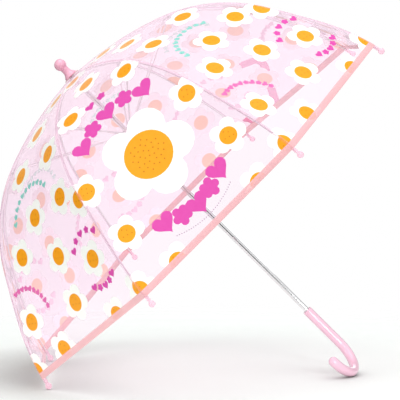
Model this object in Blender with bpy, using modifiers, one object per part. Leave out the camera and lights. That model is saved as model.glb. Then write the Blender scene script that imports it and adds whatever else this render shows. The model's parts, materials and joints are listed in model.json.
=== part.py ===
"""A children's dome umbrella, lying open on a floor on two rib tips and the hook of its handle.

The umbrella is modelled upright round its shaft: local +Z runs up the shaft to the ferrule, z = 0 is the
crown of the film, and rib i stands at RIB_STEP * (i + 0.5) round it. One empty then lays it down.
"""

import math

import bmesh
import bpy
from mathutils import Matrix, Vector

MM = 0.001

# Driving dimensions
RIB_COUNT = 8
CANOPY_RADIUS = 360 * MM  # shaft axis to the hem at a rib
CANOPY_DEPTH = 270.6 * MM  # crown to the plane of the hem corners
RIB_SLOPES = (3, 9.6, 18.5, 37.4, 57, 60, 75)  # degrees below level, at equal steps along the rib
SHOULDER = 0.364  # share of the rib's arc at which the stretcher joint sits
FILM_THICKNESS = 0.5 * MM
BAR_HEIGHT = 2.2 * MM
BAR_THICKNESS = 1.6 * MM
BAR_GAP = 0.9 * MM  # film's inner face to a rib
EYE_RADIUS = 1.9 * MM
EYE_GAP = 1.2 * MM  # film's inner face to the eyes of the stretcher joint
CLEARANCE = 0.3 * MM
STRETCHER_SLOPE = math.radians(25.5)  # a stretcher above level, with the umbrella open

SHAFT_RADIUS = 4 * MM
SHAFT_WALL = 0.6 * MM
SHAFT_IN_BALL = 6.1 * MM  # shaft's top end to the centre of the ferrule's ball

NOTCH_HEIGHT = 7 * MM
NOTCH_WALL = 2.5 * MM  # between the hub's bore and its rib slots
NOTCH_RIM = 2 * MM  # ring of wire to the hub's outer face
NOTCH_GAP = 1 * MM  # film's inner face to the hub
NOTCH_PIVOT_GAP = 0.8 * MM  # hub's top to the rib eyes
WIRE_RADIUS = 0.5 * MM
WIRE_PLAY = 0.6 * MM
WASHER_RADIUS = 13 * MM
WASHER_THICKNESS = 1 * MM

FERRULE_BALL_RADIUS = 9 * MM
FERRULE_WALL = 1.5 * MM
FERRULE_SKIRT = 4.7 * MM  # neck to the skirt's edge
FERRULE_BALL_HEIGHT = 24.1 * MM  # crown to the centre of the ball
FERRULE_SKIRT_HEIGHT = 5.5 * MM

RUNNER_BORE_GAP = 0.4 * MM
RUNNER_WALL = 3.1 * MM
RUNNER_RIM = 2.5 * MM  # stretcher pivots to the head's edge
RUNNER_HEAD_ABOVE = 3 * MM  # stretcher pivots to the top of the runner
RUNNER_HEAD_BELOW = 4 * MM
RUNNER_COLLAR = 1.7 * MM  # how far the collar stands out of the sleeve
RUNNER_COLLAR_HEIGHT = 6 * MM
RUNNER_LENGTH = 55 * MM
CLOSED_JOINT_GAP = 4.3 * MM  # head's edge to the rivets when the umbrella is folded

STOP_PIN_RADIUS = 0.8 * MM
STOP_PIN_OUT = 2 * MM  # how far the pin stands out of the shaft
CATCH_THICKNESS = 1.2 * MM
CATCH_OUT = 2.2 * MM  # how far a catch stands out of the shaft
CATCH_LENGTH = 12 * MM
CATCH_NOSE = 2 * MM
CATCH_SPINE = 0.6 * MM
KEYWAY_GAP = 0.4 * MM

HANDLE_TOP_DEPTH = 492.5 * MM  # crown to the mouth of the handle
HANDLE_RADIUS = 7.2 * MM
HANDLE_STRAIGHT = 70 * MM
HOOK_RADIUS = 36.6 * MM
HOOK_TURN = math.radians(69)  # side to which the hook points, round the shaft
HANDLE_BORE_DEPTH = 50 * MM
HANDLE_BORE_SPACE = 2.5 * MM  # shaft's lower end to the bottom of the bore
HANDLE_MOUTH_GAP = 1.2 * MM
HANDLE_MOUTH_DEPTH = 6 * MM
HOOK_LAND = 0.4 * MM  # depth of the flat on which the hook stands

TIP_BALL_RADIUS = 4.7 * MM
TIP_WALL = 0.85 * MM
TIP_REACH = 12.5 * MM  # hem corner to the centre of the tip's ball
TIP_BORE_DEPTH = 8 * MM
TIP_BORE_GAP = 0.39 * MM

STRAP_WIDTH = 14 * MM
STRAP_THICKNESS = 0.6 * MM
STRAP_LIFT = 1.5 * MM
STRAP_PANEL = 4
STRAP_ROUTE = (  # arc share, width share: up from the hem, then folded back to one side
    (0.985, 0.31),
    (0.935, 0.17),
    (0.885, 0.01),
    (0.845, -0.13),
    (0.815, -0.13),
    (0.80, -0.03),
    (0.787, 0.08),
)
STUD_RADIUS = 5.5 * MM
STUD_HEIGHT = 1.8 * MM
STUD_PLACE = (0.965, 0.83)  # arc share, width share

# Values that follow
RIB_STEP = 2 * math.pi / RIB_COUNT
HALF_STEP = RIB_STEP / 2
ARC_STEPS = 240
UPPER_LAYER = -(BAR_THICKNESS + CLEARANCE)  # upper ribs lie beside the lower ribs
STRETCHER_LAYER = BAR_THICKNESS + CLEARANCE  # stretchers lie on their other side
SLOT_WIDTH = BAR_THICKNESS + 2 * 0.4 * MM
SHAFT_BORE = SHAFT_RADIUS - SHAFT_WALL
LOOSE_BORE = SHAFT_RADIUS + CLEARANCE
SHAFT_ABOVE_CROWN = FERRULE_BALL_HEIGHT - SHAFT_IN_BALL
SHAFT_BELOW_CROWN = HANDLE_TOP_DEPTH + HANDLE_BORE_DEPTH - HANDLE_BORE_SPACE
RIB_DEPTH = FILM_THICKNESS + BAR_GAP + BAR_HEIGHT / 2  # film's outer face to a rib's centre line
JOINT_DEPTH = FILM_THICKNESS + EYE_GAP + EYE_RADIUS  # film's outer face to the stretcher joint
EYE_HOLE_RADIUS = WIRE_RADIUS + WIRE_PLAY
NOTCH_PIVOT_RADIUS = LOOSE_BORE + NOTCH_WALL + CLEARANCE + EYE_RADIUS
NOTCH_RADIUS = NOTCH_PIVOT_RADIUS + NOTCH_RIM
NOTCH_TOP_DEPTH = FILM_THICKNESS + NOTCH_GAP
NOTCH_PIVOT_DEPTH = NOTCH_TOP_DEPTH + NOTCH_PIVOT_GAP + EYE_RADIUS
FERRULE_NECK_RADIUS = LOOSE_BORE + FERRULE_WALL
FERRULE_SKIRT_RADIUS = FERRULE_NECK_RADIUS + FERRULE_SKIRT
RUNNER_SLEEVE_RADIUS = SHAFT_RADIUS + RUNNER_BORE_GAP + RUNNER_WALL
RUNNER_COLLAR_RADIUS = RUNNER_SLEEVE_RADIUS + RUNNER_COLLAR
RUNNER_PIVOT_RADIUS = RUNNER_SLEEVE_RADIUS + 2 * CLEARANCE + EYE_RADIUS
RUNNER_HEAD_RADIUS = RUNNER_PIVOT_RADIUS + RUNNER_RIM
CLOSED_JOINT_RADIUS = RUNNER_HEAD_RADIUS + CLOSED_JOINT_GAP
STOP_PIN_REACH = SHAFT_RADIUS + STOP_PIN_OUT
CATCH_REACH = SHAFT_RADIUS + CATCH_OUT
KEYWAY_REACH = CATCH_REACH + KEYWAY_GAP
HANDLE_MOUTH_RADIUS = LOOSE_BORE + HANDLE_MOUTH_GAP
TIP_BORE_RADIUS = math.hypot(BAR_HEIGHT, BAR_THICKNESS) / 2 + TIP_BORE_GAP
TIP_NECK_RADIUS = TIP_BORE_RADIUS + TIP_WALL

COLOURS = {
    "film": ((0.98, 0.86, 0.93, 1), 0.12, 0.0),
    "handle": ((0.90, 0.50, 0.66, 1), 0.18, 0.0),
    "tip": ((0.92, 0.62, 0.74, 1), 0.25, 0.0),
    "ferrule": ((0.88, 0.42, 0.60, 1), 0.22, 0.0),
    "steel": ((0.72, 0.72, 0.72, 1), 0.20, 1.0),
    "rib": ((0.86, 0.84, 0.84, 1), 0.35, 0.0),
    "nylon": ((0.93, 0.90, 0.91, 1), 0.40, 0.0),
    "strap": ((0.90, 0.55, 0.62, 1), 0.30, 0.0),
}


# Canopy profile


def slope_at(share):
    """Slope of the rib below level, in radians, at a share of its arc."""
    place = min(max(share, 0), 1) * (len(RIB_SLOPES) - 1)
    index = min(int(place), len(RIB_SLOPES) - 2)
    return math.radians(RIB_SLOPES[index] + (place - index) * (RIB_SLOPES[index + 1] - RIB_SLOPES[index]))


def make_profile():
    """(radius, height) of the film at each step along a rib, fitted to the canopy's radius and depth."""
    points = [(0.0, 0.0)]
    for step in range(ARC_STEPS):
        slope = slope_at((step + 0.5) / ARC_STEPS)
        points.append((points[-1][0] + math.cos(slope), points[-1][1] - math.sin(slope)))
    wide, deep = CANOPY_RADIUS / points[-1][0], -CANOPY_DEPTH / points[-1][1]
    return [(radius * wide, height * deep) for radius, height in points]


PROFILE = make_profile()


def film_at(share):
    """Point of the film's outer face over a rib, at a share of the arc."""
    place = min(max(share, 0), 1) * ARC_STEPS
    index = min(int(place), ARC_STEPS - 1)
    return Vector(PROFILE[index]).lerp(Vector(PROFILE[index + 1]), place - index)


def along_at(share):
    """Unit direction of the film's outer face down a rib."""
    low, high = max(share - 0.5 / ARC_STEPS, 0), min(share + 0.5 / ARC_STEPS, 1)
    return (film_at(high) - film_at(low)).normalized()


def under_film(share, depth=RIB_DEPTH):
    """Point that lies a depth under the film's outer face over a rib."""
    along = along_at(share)
    return film_at(share) + depth * Vector((along.y, -along.x))


NOTCH_PIVOT = Vector((NOTCH_PIVOT_RADIUS, -NOTCH_PIVOT_DEPTH))
JOINT = under_film(SHOULDER, JOINT_DEPTH)
RIB_END = under_film(1)
END_DIRECTION = along_at(1)
STRETCHER_LENGTH = (JOINT.x - RUNNER_PIVOT_RADIUS) / math.cos(STRETCHER_SLOPE)
RUNNER_PIVOT = Vector((RUNNER_PIVOT_RADIUS, JOINT.y - STRETCHER_LENGTH * math.sin(STRETCHER_SLOPE)))
RUNNER_TOP = RUNNER_PIVOT.y + RUNNER_HEAD_ABOVE
RUNNER_BOTTOM = RUNNER_TOP - RUNNER_LENGTH

# Folded, a rib hangs down from the notch and its stretcher from the rib, and the runner hangs on both
RIB_DROP = math.sqrt((JOINT - NOTCH_PIVOT).length ** 2 - (CLOSED_JOINT_RADIUS - NOTCH_PIVOT_RADIUS) ** 2)
STRETCHER_DROP = math.sqrt(STRETCHER_LENGTH**2 - (CLOSED_JOINT_RADIUS - RUNNER_PIVOT_RADIUS) ** 2)
RUNNER_TRAVEL = RUNNER_PIVOT.y - NOTCH_PIVOT.y + RIB_DROP + STRETCHER_DROP
CLOSED_RUNNER_TOP = RUNNER_TOP - RUNNER_TRAVEL
STOP_PIN_HEIGHT = RUNNER_TOP + CLEARANCE + STOP_PIN_RADIUS
TOP_CATCH_HEIGHT = RUNNER_BOTTOM - CLEARANCE
BOTTOM_CATCH_HEIGHT = CLOSED_RUNNER_TOP + CLEARANCE


# Scene and small makers


def clear_scene():
    for obj in list(bpy.data.objects):
        bpy.data.objects.remove(obj, do_unlink=True)


def make_collections():
    parts = bpy.data.collections.new("childrens_umbrella")
    cutters = bpy.data.collections.new("cutters")
    for collection in (parts, cutters):
        bpy.context.scene.collection.children.link(collection)
    cutters.hide_render = True
    return parts, cutters


def finish_part(obj, finish, parent=None):
    """Put a part in its collection, under its parent, with a material of its own."""
    colour, roughness, metallic = COLOURS[finish]
    material = bpy.data.materials.new(obj.name)
    material.use_nodes = True
    shader = material.node_tree.nodes["Principled BSDF"]
    shader.inputs["Base Color"].default_value = colour
    shader.inputs["Roughness"].default_value = roughness
    shader.inputs["Metallic"].default_value = metallic
    obj.data.materials.clear()
    obj.data.materials.append(material)
    PARTS.objects.link(obj)
    obj.parent = parent
    return obj


def make_empty(name, parent=None, location=(0, 0, 0), turn=0.0):
    empty = bpy.data.objects.new(name, None)
    empty.empty_display_size = 0.01
    empty.location = location
    empty.rotation_euler = (0, 0, turn)
    empty.parent = parent
    PARTS.objects.link(empty)
    return empty


def mesh_object(name, work):
    mesh = bpy.data.meshes.new(name)
    work.to_mesh(mesh)
    work.free()
    return bpy.data.objects.new(name, mesh)


def shade_round(obj):
    obj.data.shade_smooth()
    obj.data.set_sharp_from_angle(angle=math.radians(35))


def turned(name, profile, steps, closed=False):
    """A turned piece: its profile runs down the outer side at +X, and closes on itself or on the axis."""
    work = bmesh.new()
    points = [work.verts.new((radius, 0, height)) for radius, height in profile]
    for first, second in zip(points, points[1:]):
        work.edges.new((first, second))
    if closed:
        work.edges.new((points[-1], points[0]))
    obj = mesh_object(name, work)
    screw = obj.modifiers.new("turn", "SCREW")
    screw.axis = "Z"
    screw.steps = screw.render_steps = steps
    screw.use_merge_vertices = True
    screw.merge_threshold = 0.00001
    screw.use_smooth_shade = True
    return obj


def flat_bar(name, outlines, thickness):
    """A flat piece cut from sheet: the first outline is its edge and the others are holes."""
    curve = bpy.data.curves.new(name, "CURVE")
    curve.dimensions = "2D"
    curve.fill_mode = "BOTH"
    curve.extrude = thickness / 2
    for outline in outlines:
        spline = curve.splines.new("POLY")
        spline.points.add(len(outline) - 1)
        for point, (x, y) in zip(spline.points, outline):
            point.co = (x, y, 0, 1)
        spline.use_cyclic_u = True
    obj = bpy.data.objects.new(name, curve)
    obj.rotation_euler = (math.radians(90), 0, 0)
    return obj


def circle(centre, radius, count):
    """Points round a circle."""
    turns = [2 * math.pi * index / count for index in range(count)]
    return [(centre[0] + radius * math.cos(turn), centre[1] + radius * math.sin(turn)) for turn in turns]


def end_arc(centre, towards, radius, half, count=6):
    """Points round the end of a bar of half a height, the long way round from one edge to the other."""
    forward = (towards - centre).normalized()
    side = Vector((-forward.y, forward.x))
    first = math.asin(min(half / radius, 1))
    turns = [first + (2 * math.pi - 2 * first) * index / count for index in range(count + 1)]
    return [centre + radius * (math.cos(turn) * forward + math.sin(turn) * side) for turn in turns]


def bar_outline(line, half, first_eye, last_eye):
    """Outline of a bar along a centre line, with a round eye of a given radius at each end."""
    edges = {1: [], -1: []}
    for before, here, after in zip(line, line[1:], line[2:]):
        along = (after - before).normalized()
        side = Vector((-along.y, along.x))
        for sign, edge in edges.items():
            edge.append(here + sign * half * side)
    start = end_arc(line[0], line[1], first_eye, half)
    finish = end_arc(line[-1], line[-2], last_eye, half)
    return start + edges[-1] + finish + edges[1][::-1]


def box_cutter(name, sizes_and_places, turns=(0.0,)):
    """One cutter made of boxes, repeated at the given turns round the shaft."""
    work = bmesh.new()
    for turn in turns:
        for size, place in sizes_and_places:
            box = bmesh.ops.create_cube(work, size=1.0)["verts"]
            bmesh.ops.scale(work, vec=size, verts=box)
            bmesh.ops.translate(work, vec=place, verts=box)
            bmesh.ops.transform(work, matrix=Matrix.Rotation(turn, 4, "Z"), verts=box)
    return add_cutter(mesh_object(name, work))


def add_cutter(obj, parent=None):
    obj.hide_render = True
    obj.display_type = "WIRE"
    obj.parent = parent
    CUTTERS.objects.link(obj)
    return obj


def cut(obj, cutter, name="cut"):
    modifier = obj.modifiers.new(name, "BOOLEAN")
    modifier.operation = "DIFFERENCE"
    modifier.object = cutter


def cylinder_cutter(name, radius, length, centre, across=False, parent=None):
    """A round cutter about local Z, or across the shaft along local X."""
    work = bmesh.new()
    bmesh.ops.create_cone(work, cap_ends=True, segments=16, radius1=radius, radius2=radius, depth=length)
    if across:
        bmesh.ops.rotate(work, matrix=Matrix.Rotation(math.pi / 2, 3, "Y"), verts=work.verts)
    bmesh.ops.translate(work, vec=centre, verts=work.verts)
    return add_cutter(mesh_object(name, work), parent)


# Shaft and what is fixed to it


def make_shaft(umbrella):
    shaft = turned(
        "shaft",
        [
            (SHAFT_RADIUS, SHAFT_ABOVE_CROWN),
            (SHAFT_RADIUS, -SHAFT_BELOW_CROWN),
            (SHAFT_BORE, -SHAFT_BELOW_CROWN),
            (SHAFT_BORE, SHAFT_ABOVE_CROWN),
        ],
        24,
        closed=True,
    )
    slot_height = CATCH_LENGTH + 2 * CLEARANCE
    slot = (CATCH_THICKNESS + 2 * CLEARANCE, SHAFT_RADIUS * 2, slot_height)
    slots = box_cutter(
        "catch_slots",
        [
            (slot, (0, SHAFT_RADIUS, TOP_CATCH_HEIGHT - CATCH_LENGTH / 2)),
            (slot, (0, SHAFT_RADIUS, BOTTOM_CATCH_HEIGHT + CATCH_LENGTH / 2)),
        ],
    )
    slots.parent = umbrella
    cut(shaft, slots, "catch slots")
    hole = cylinder_cutter(
        "stop_pin_hole",
        STOP_PIN_RADIUS + CLEARANCE,
        SHAFT_RADIUS * 4,
        (0, 0, STOP_PIN_HEIGHT),
        across=True,
        parent=umbrella,
    )
    cut(shaft, hole, "stop pin hole")
    finish_part(shaft, "steel", umbrella)


def make_stop_pin(umbrella):
    work = bmesh.new()
    bmesh.ops.create_cone(
        work,
        cap_ends=True,
        segments=10,
        radius1=STOP_PIN_RADIUS,
        radius2=STOP_PIN_RADIUS,
        depth=2 * STOP_PIN_REACH,
    )
    bmesh.ops.rotate(work, matrix=Matrix.Rotation(math.pi / 2, 3, "Y"), verts=work.verts)
    pin = finish_part(mesh_object("stop_pin", work), "steel", umbrella)
    pin.location = (0, 0, STOP_PIN_HEIGHT)
    shade_round(pin)


def make_ferrule(umbrella):
    ball_points = 8
    neck_turn = math.asin(FERRULE_NECK_RADIUS / FERRULE_BALL_RADIUS)
    turns = [index / ball_points * (math.pi - neck_turn) for index in range(ball_points + 1)]
    profile = [
        (FERRULE_BALL_RADIUS * math.sin(turn), FERRULE_BALL_HEIGHT + FERRULE_BALL_RADIUS * math.cos(turn))
        for turn in turns
    ]
    foot = WASHER_THICKNESS + 2 * CLEARANCE
    profile += [
        (FERRULE_NECK_RADIUS, foot + FERRULE_SKIRT_HEIGHT + 4 * MM),
        (FERRULE_NECK_RADIUS + 0.8 * MM, foot + FERRULE_SKIRT_HEIGHT + 1 * MM),
        (FERRULE_SKIRT_RADIUS - 1.2 * MM, foot + 2.6 * MM),
        (FERRULE_SKIRT_RADIUS, foot + 1.2 * MM),
        (FERRULE_SKIRT_RADIUS, foot),
        (LOOSE_BORE, foot),
        (LOOSE_BORE, SHAFT_ABOVE_CROWN + CLEARANCE),
        (0, SHAFT_ABOVE_CROWN + CLEARANCE),
    ]
    ferrule = turned("ferrule", profile, 24)
    finish_part(ferrule, "ferrule", umbrella)


def make_crown_washer(umbrella):
    washer = turned(
        "crown_washer",
        [
            (WASHER_RADIUS, WASHER_THICKNESS + CLEARANCE),
            (WASHER_RADIUS, CLEARANCE),
            (LOOSE_BORE, CLEARANCE),
            (LOOSE_BORE, WASHER_THICKNESS + CLEARANCE),
        ],
        24,
        closed=True,
    )
    finish_part(washer, "film", umbrella)


def make_top_notch(umbrella):
    """The slotted hub that holds the ribs' inner ends on a ring of wire."""
    groove = WIRE_RADIUS + CLEARANCE
    groove_floor = NOTCH_PIVOT_RADIUS - WIRE_RADIUS - CLEARANCE
    bottom = -NOTCH_TOP_DEPTH - NOTCH_HEIGHT
    notch = turned(
        "top_notch",
        [
            (NOTCH_RADIUS, -NOTCH_TOP_DEPTH),
            (NOTCH_RADIUS, -NOTCH_PIVOT_DEPTH + groove),
            (groove_floor, -NOTCH_PIVOT_DEPTH + groove),
            (groove_floor, -NOTCH_PIVOT_DEPTH - groove),
            (NOTCH_RADIUS, -NOTCH_PIVOT_DEPTH - groove),
            (NOTCH_RADIUS, bottom),
            (LOOSE_BORE, bottom),
            (LOOSE_BORE, -NOTCH_TOP_DEPTH),
        ],
        32,
        closed=True,
    )
    floor = NOTCH_PIVOT_RADIUS - EYE_RADIUS - CLEARANCE
    slots = rib_slots("notch_slots", floor, NOTCH_RADIUS, UPPER_LAYER, 0, 4 * NOTCH_HEIGHT)
    slots.parent = umbrella
    cut(notch, slots, "rib slots")
    finish_part(notch, "nylon", umbrella)


def rib_slots(name, floor, radius, layer, height, depth):
    """A cutter with one radial slot for each rib, from a floor radius out past the hub's edge."""
    length = radius * 2 - floor
    slot = ((length, SLOT_WIDTH, depth), (floor + length / 2, layer, height))
    return box_cutter(name, [slot], [RIB_STEP * (index + 0.5) for index in range(RIB_COUNT)])


def make_notch_wire(umbrella):
    bpy.ops.mesh.primitive_torus_add(
        major_radius=NOTCH_PIVOT_RADIUS, minor_radius=WIRE_RADIUS, major_segments=32, minor_segments=6
    )
    wire = bpy.context.object
    wire.name = wire.data.name = "notch_wire"
    for collection in list(wire.users_collection):
        collection.objects.unlink(wire)
    finish_part(wire, "steel", umbrella)
    wire.location = (0, 0, -NOTCH_PIVOT_DEPTH)
    shade_round(wire)


def hook_line():
    """Centre line of the J handle with a radius share at each point: straight, half a turn, round end."""
    aside = Vector((math.cos(HOOK_TURN), math.sin(HOOK_TURN), 0))
    bend_start = -HANDLE_TOP_DEPTH - HANDLE_STRAIGHT
    line = [(Vector((0, 0, -HANDLE_TOP_DEPTH)), 1.0), (Vector((0, 0, bend_start + 6 * MM)), 1.0)]
    bend_steps = 14
    for index in range(bend_steps + 1):
        turn = math.pi * index / bend_steps
        out, down = HOOK_RADIUS * (1 - math.cos(turn)), HOOK_RADIUS * math.sin(turn)
        line.append((out * aside + Vector((0, 0, bend_start - down)), 1.0))
    end = line[-1][0]
    round_steps = 4
    for index in range(1, round_steps + 1):
        turn = math.radians(80) * index / round_steps
        line.append((end + Vector((0, 0, HANDLE_RADIUS * math.sin(turn))), math.cos(turn)))
    return line


def make_handle(umbrella, land_cutter):
    curve = bpy.data.curves.new("handle", "CURVE")
    curve.dimensions = "3D"
    curve.bevel_depth = HANDLE_RADIUS
    curve.bevel_resolution = 4
    curve.use_fill_caps = True
    line = hook_line()
    spline = curve.splines.new("POLY")
    spline.points.add(len(line) - 1)
    for point, (place, share) in zip(spline.points, line):
        point.co = (*place, 1)
        point.radius = share
    guide = bpy.data.objects.new("handle_guide", curve)
    bpy.context.scene.collection.objects.link(guide)
    graph = bpy.context.evaluated_depsgraph_get()
    mesh = bpy.data.meshes.new_from_object(guide.evaluated_get(graph))
    bpy.data.objects.remove(guide, do_unlink=True)
    work = bmesh.new()
    work.from_mesh(mesh)
    bmesh.ops.remove_doubles(work, verts=work.verts, dist=0.00001)
    work.to_mesh(mesh)
    work.free()
    mesh.name = "handle"
    handle = bpy.data.objects.new("handle", mesh)
    bore_centre = -HANDLE_TOP_DEPTH - HANDLE_BORE_DEPTH / 2 + 1 * MM
    bore = cylinder_cutter(
        "handle_bore", LOOSE_BORE, HANDLE_BORE_DEPTH + 2 * MM, (0, 0, bore_centre), parent=umbrella
    )
    mouth = cylinder_cutter(
        "handle_mouth",
        HANDLE_MOUTH_RADIUS,
        2 * HANDLE_MOUTH_DEPTH,
        (0, 0, -HANDLE_TOP_DEPTH),
        parent=umbrella,
    )
    cut(handle, bore, "shaft bore")
    cut(handle, mouth, "mouth")
    cut(handle, land_cutter, "land")
    finish_part(handle, "handle", umbrella)
    shade_round(handle)


# Runner and catches


def make_runner(umbrella):
    bore = SHAFT_RADIUS + RUNNER_BORE_GAP
    head_bottom = RUNNER_PIVOT.y - RUNNER_HEAD_BELOW
    collar_top = RUNNER_BOTTOM + RUNNER_COLLAR_HEIGHT
    runner = turned(
        "runner",
        [
            (RUNNER_HEAD_RADIUS, RUNNER_TOP),
            (RUNNER_HEAD_RADIUS, head_bottom),
            (RUNNER_SLEEVE_RADIUS, head_bottom),
            (RUNNER_SLEEVE_RADIUS, collar_top),
            (RUNNER_COLLAR_RADIUS, collar_top),
            (RUNNER_COLLAR_RADIUS, RUNNER_BOTTOM),
            (bore, RUNNER_BOTTOM),
            (bore, RUNNER_TOP),
        ],
        32,
        closed=True,
    )
    floor = RUNNER_PIVOT_RADIUS - EYE_RADIUS - CLEARANCE
    slots = rib_slots(
        "runner_slots",
        floor,
        RUNNER_HEAD_RADIUS,
        STRETCHER_LAYER,
        RUNNER_PIVOT.y,
        2 * (RUNNER_HEAD_BELOW + RUNNER_HEAD_ABOVE),
    )
    keyway = box_cutter(
        "runner_keyway",
        [
            (
                (CATCH_THICKNESS + 4 * CLEARANCE, KEYWAY_REACH, 2 * RUNNER_LENGTH),
                (0, KEYWAY_REACH / 2, RUNNER_TOP - RUNNER_LENGTH / 2),
            )
        ],
    )
    for cutter, name in ((slots, "stretcher slots"), (keyway, "keyway")):
        cutter.parent = umbrella
        cut(runner, cutter, name)
    finish_part(runner, "nylon", umbrella)


def make_catch(umbrella, name, height, way):
    """A flat spring catch: its square nose holds the runner, and its slope lets the runner ride over."""
    outline = [
        (CATCH_SPINE, 0),
        (CATCH_REACH, 0),
        (CATCH_REACH, -way * CATCH_NOSE),
        (SHAFT_BORE - CLEARANCE, -way * CATCH_LENGTH),
        (CATCH_SPINE, -way * CATCH_LENGTH),
    ]
    catch = flat_bar(name, [outline if way < 0 else outline[::-1]], CATCH_THICKNESS)
    finish_part(catch, "steel", umbrella)
    catch.rotation_euler = (math.radians(90), 0, math.radians(90))
    catch.location = (0, 0, height)


# Ribs, stretchers and tips


def relative(points, origin):
    return [Vector(point) - origin for point in points]


def make_rib_set(umbrella, index):
    """One rib with its stretcher and tip, in the plane of its own empty."""
    plane = make_empty(f"rib_plane_{index}", umbrella, turn=RIB_STEP * (index + 0.5))
    half = BAR_HEIGHT / 2

    # Upper rib: wire eye at the notch, rivet eye at the joint
    line = [NOTCH_PIVOT] + [under_film(SHOULDER * share) for share in (0.2, 0.4, 0.6, 0.8, 0.93)] + [JOINT]
    edge = bar_outline(line, half, EYE_RADIUS, EYE_RADIUS)
    hole = circle(NOTCH_PIVOT, EYE_HOLE_RADIUS, 10)
    upper = flat_bar(
        f"upper_rib_{index}", [relative(edge, NOTCH_PIVOT), relative(hole, NOTCH_PIVOT)], BAR_THICKNESS
    )
    finish_part(upper, "rib", plane)
    upper.location = (NOTCH_PIVOT.x, UPPER_LAYER, NOTCH_PIVOT.y)

    # Lower rib: rivet eye at the joint, plain end inside the tip
    shares = [SHOULDER + (1 - SHOULDER) * step / 9 for step in range(1, 10)]
    reach = RIB_END + (TIP_BORE_DEPTH - BAR_HEIGHT) * END_DIRECTION
    line = [JOINT] + [under_film(share) for share in shares] + [reach]
    edge = bar_outline(line, half, EYE_RADIUS, half * 1.02)
    lower = flat_bar(f"lower_rib_{index}", [relative(edge, JOINT)], BAR_THICKNESS)
    finish_part(lower, "rib", plane)
    lower.location = (JOINT.x, 0, JOINT.y)

    # Stretcher: a straight bar from the joint to the runner
    middle = JOINT.lerp(RUNNER_PIVOT, 0.5)
    edge = bar_outline([JOINT, middle, RUNNER_PIVOT], half * 0.85, EYE_RADIUS, EYE_RADIUS)
    stretcher = flat_bar(f"stretcher_{index}", [relative(edge, JOINT)], BAR_THICKNESS)
    finish_part(stretcher, "rib", plane)
    stretcher.location = (JOINT.x, STRETCHER_LAYER, JOINT.y)

    tip = turned(f"rib_tip_{index}", tip_profile(), 12)
    finish_part(tip, "tip", plane)
    tip.location = (RIB_END.x, 0, RIB_END.y)
    tip.rotation_euler = (0, math.pi / 2 + math.atan2(-END_DIRECTION.y, END_DIRECTION.x), 0)


def tip_profile():
    """Ball, neck and blind bore of a rib tip, with z along the rib from the hem."""
    ball_points = 6
    neck_turn = math.asin(TIP_NECK_RADIUS / TIP_BALL_RADIUS)
    turns = [index / ball_points * (math.pi - neck_turn) for index in range(ball_points + 1)]
    ball = [
        (TIP_BALL_RADIUS * math.sin(turn), TIP_REACH + TIP_BALL_RADIUS * math.cos(turn)) for turn in turns
    ]
    return ball + [
        (TIP_NECK_RADIUS, 0),
        (TIP_BORE_RADIUS, 0),
        (TIP_BORE_RADIUS, TIP_BORE_DEPTH),
        (0, TIP_BORE_DEPTH),
    ]


# Canopy


def gore_point(share, across):
    """Point of the film's outer face in a gore's own axes: out from the shaft, sideways and up."""
    radius, height = film_at(share)
    return Vector((radius * math.cos(HALF_STEP), across * radius * math.sin(HALF_STEP), height))


def gore_normal(share):
    down = gore_point(min(share + 0.005, 1), 0) - gore_point(max(share - 0.005, 0), 0)
    return down.cross(Vector((0, 1, 0))).normalized()


def make_panel(name, umbrella, index, first, last, rows, pivot):
    """One film panel between two ribs, from one share of the arc to another, hinged at a pivot."""
    edge_gap = CLEARANCE / 2 / math.cos(HALF_STEP) + FILM_THICKNESS * math.tan(HALF_STEP)
    work = bmesh.new()
    grid = []
    for row in range(rows + 1):
        share = first + (last - first) * row / rows
        middle = gore_point(share, 0)
        side = film_at(share).x * math.sin(HALF_STEP) - edge_gap
        grid.append([work.verts.new(middle + Vector((0, way * side, 0)) - pivot) for way in (-1, 1)])
    for upper, lower in zip(grid, grid[1:]):
        work.faces.new((upper[0], lower[0], lower[1], upper[1]))
    panel = mesh_object(name, work)
    solid = panel.modifiers.new("film", "SOLIDIFY")
    solid.thickness = FILM_THICKNESS
    solid.offset = -1
    turn = RIB_STEP * (index + 1)
    finish_part(panel, "film", umbrella)
    panel.rotation_euler = (0, 0, turn)
    panel.location = Matrix.Rotation(turn, 3, "Z") @ pivot
    return panel


def make_gore(umbrella, index):
    crown = film_share_at(LOOSE_BORE * 1.35)
    gap = CLEARANCE / 2 / rib_arc()
    crown_pivot = Vector((NOTCH_PIVOT.x, 0, NOTCH_PIVOT.y))
    shoulder_pivot = gore_point(SHOULDER, 0)
    make_panel(f"upper_panel_{index}", umbrella, index, crown, SHOULDER - gap, 6, crown_pivot)
    make_panel(f"lower_panel_{index}", umbrella, index, SHOULDER + gap, 1, 10, shoulder_pivot)


def rib_arc():
    """Length of the film along a rib."""
    return sum((Vector(b) - Vector(a)).length for a, b in zip(PROFILE, PROFILE[1:]))


def film_share_at(radius):
    """Share of the arc at which the film over a rib reaches a radius."""
    for step in range(ARC_STEPS):
        if PROFILE[step][0] >= radius:
            return step / ARC_STEPS
    return 1.0


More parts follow.
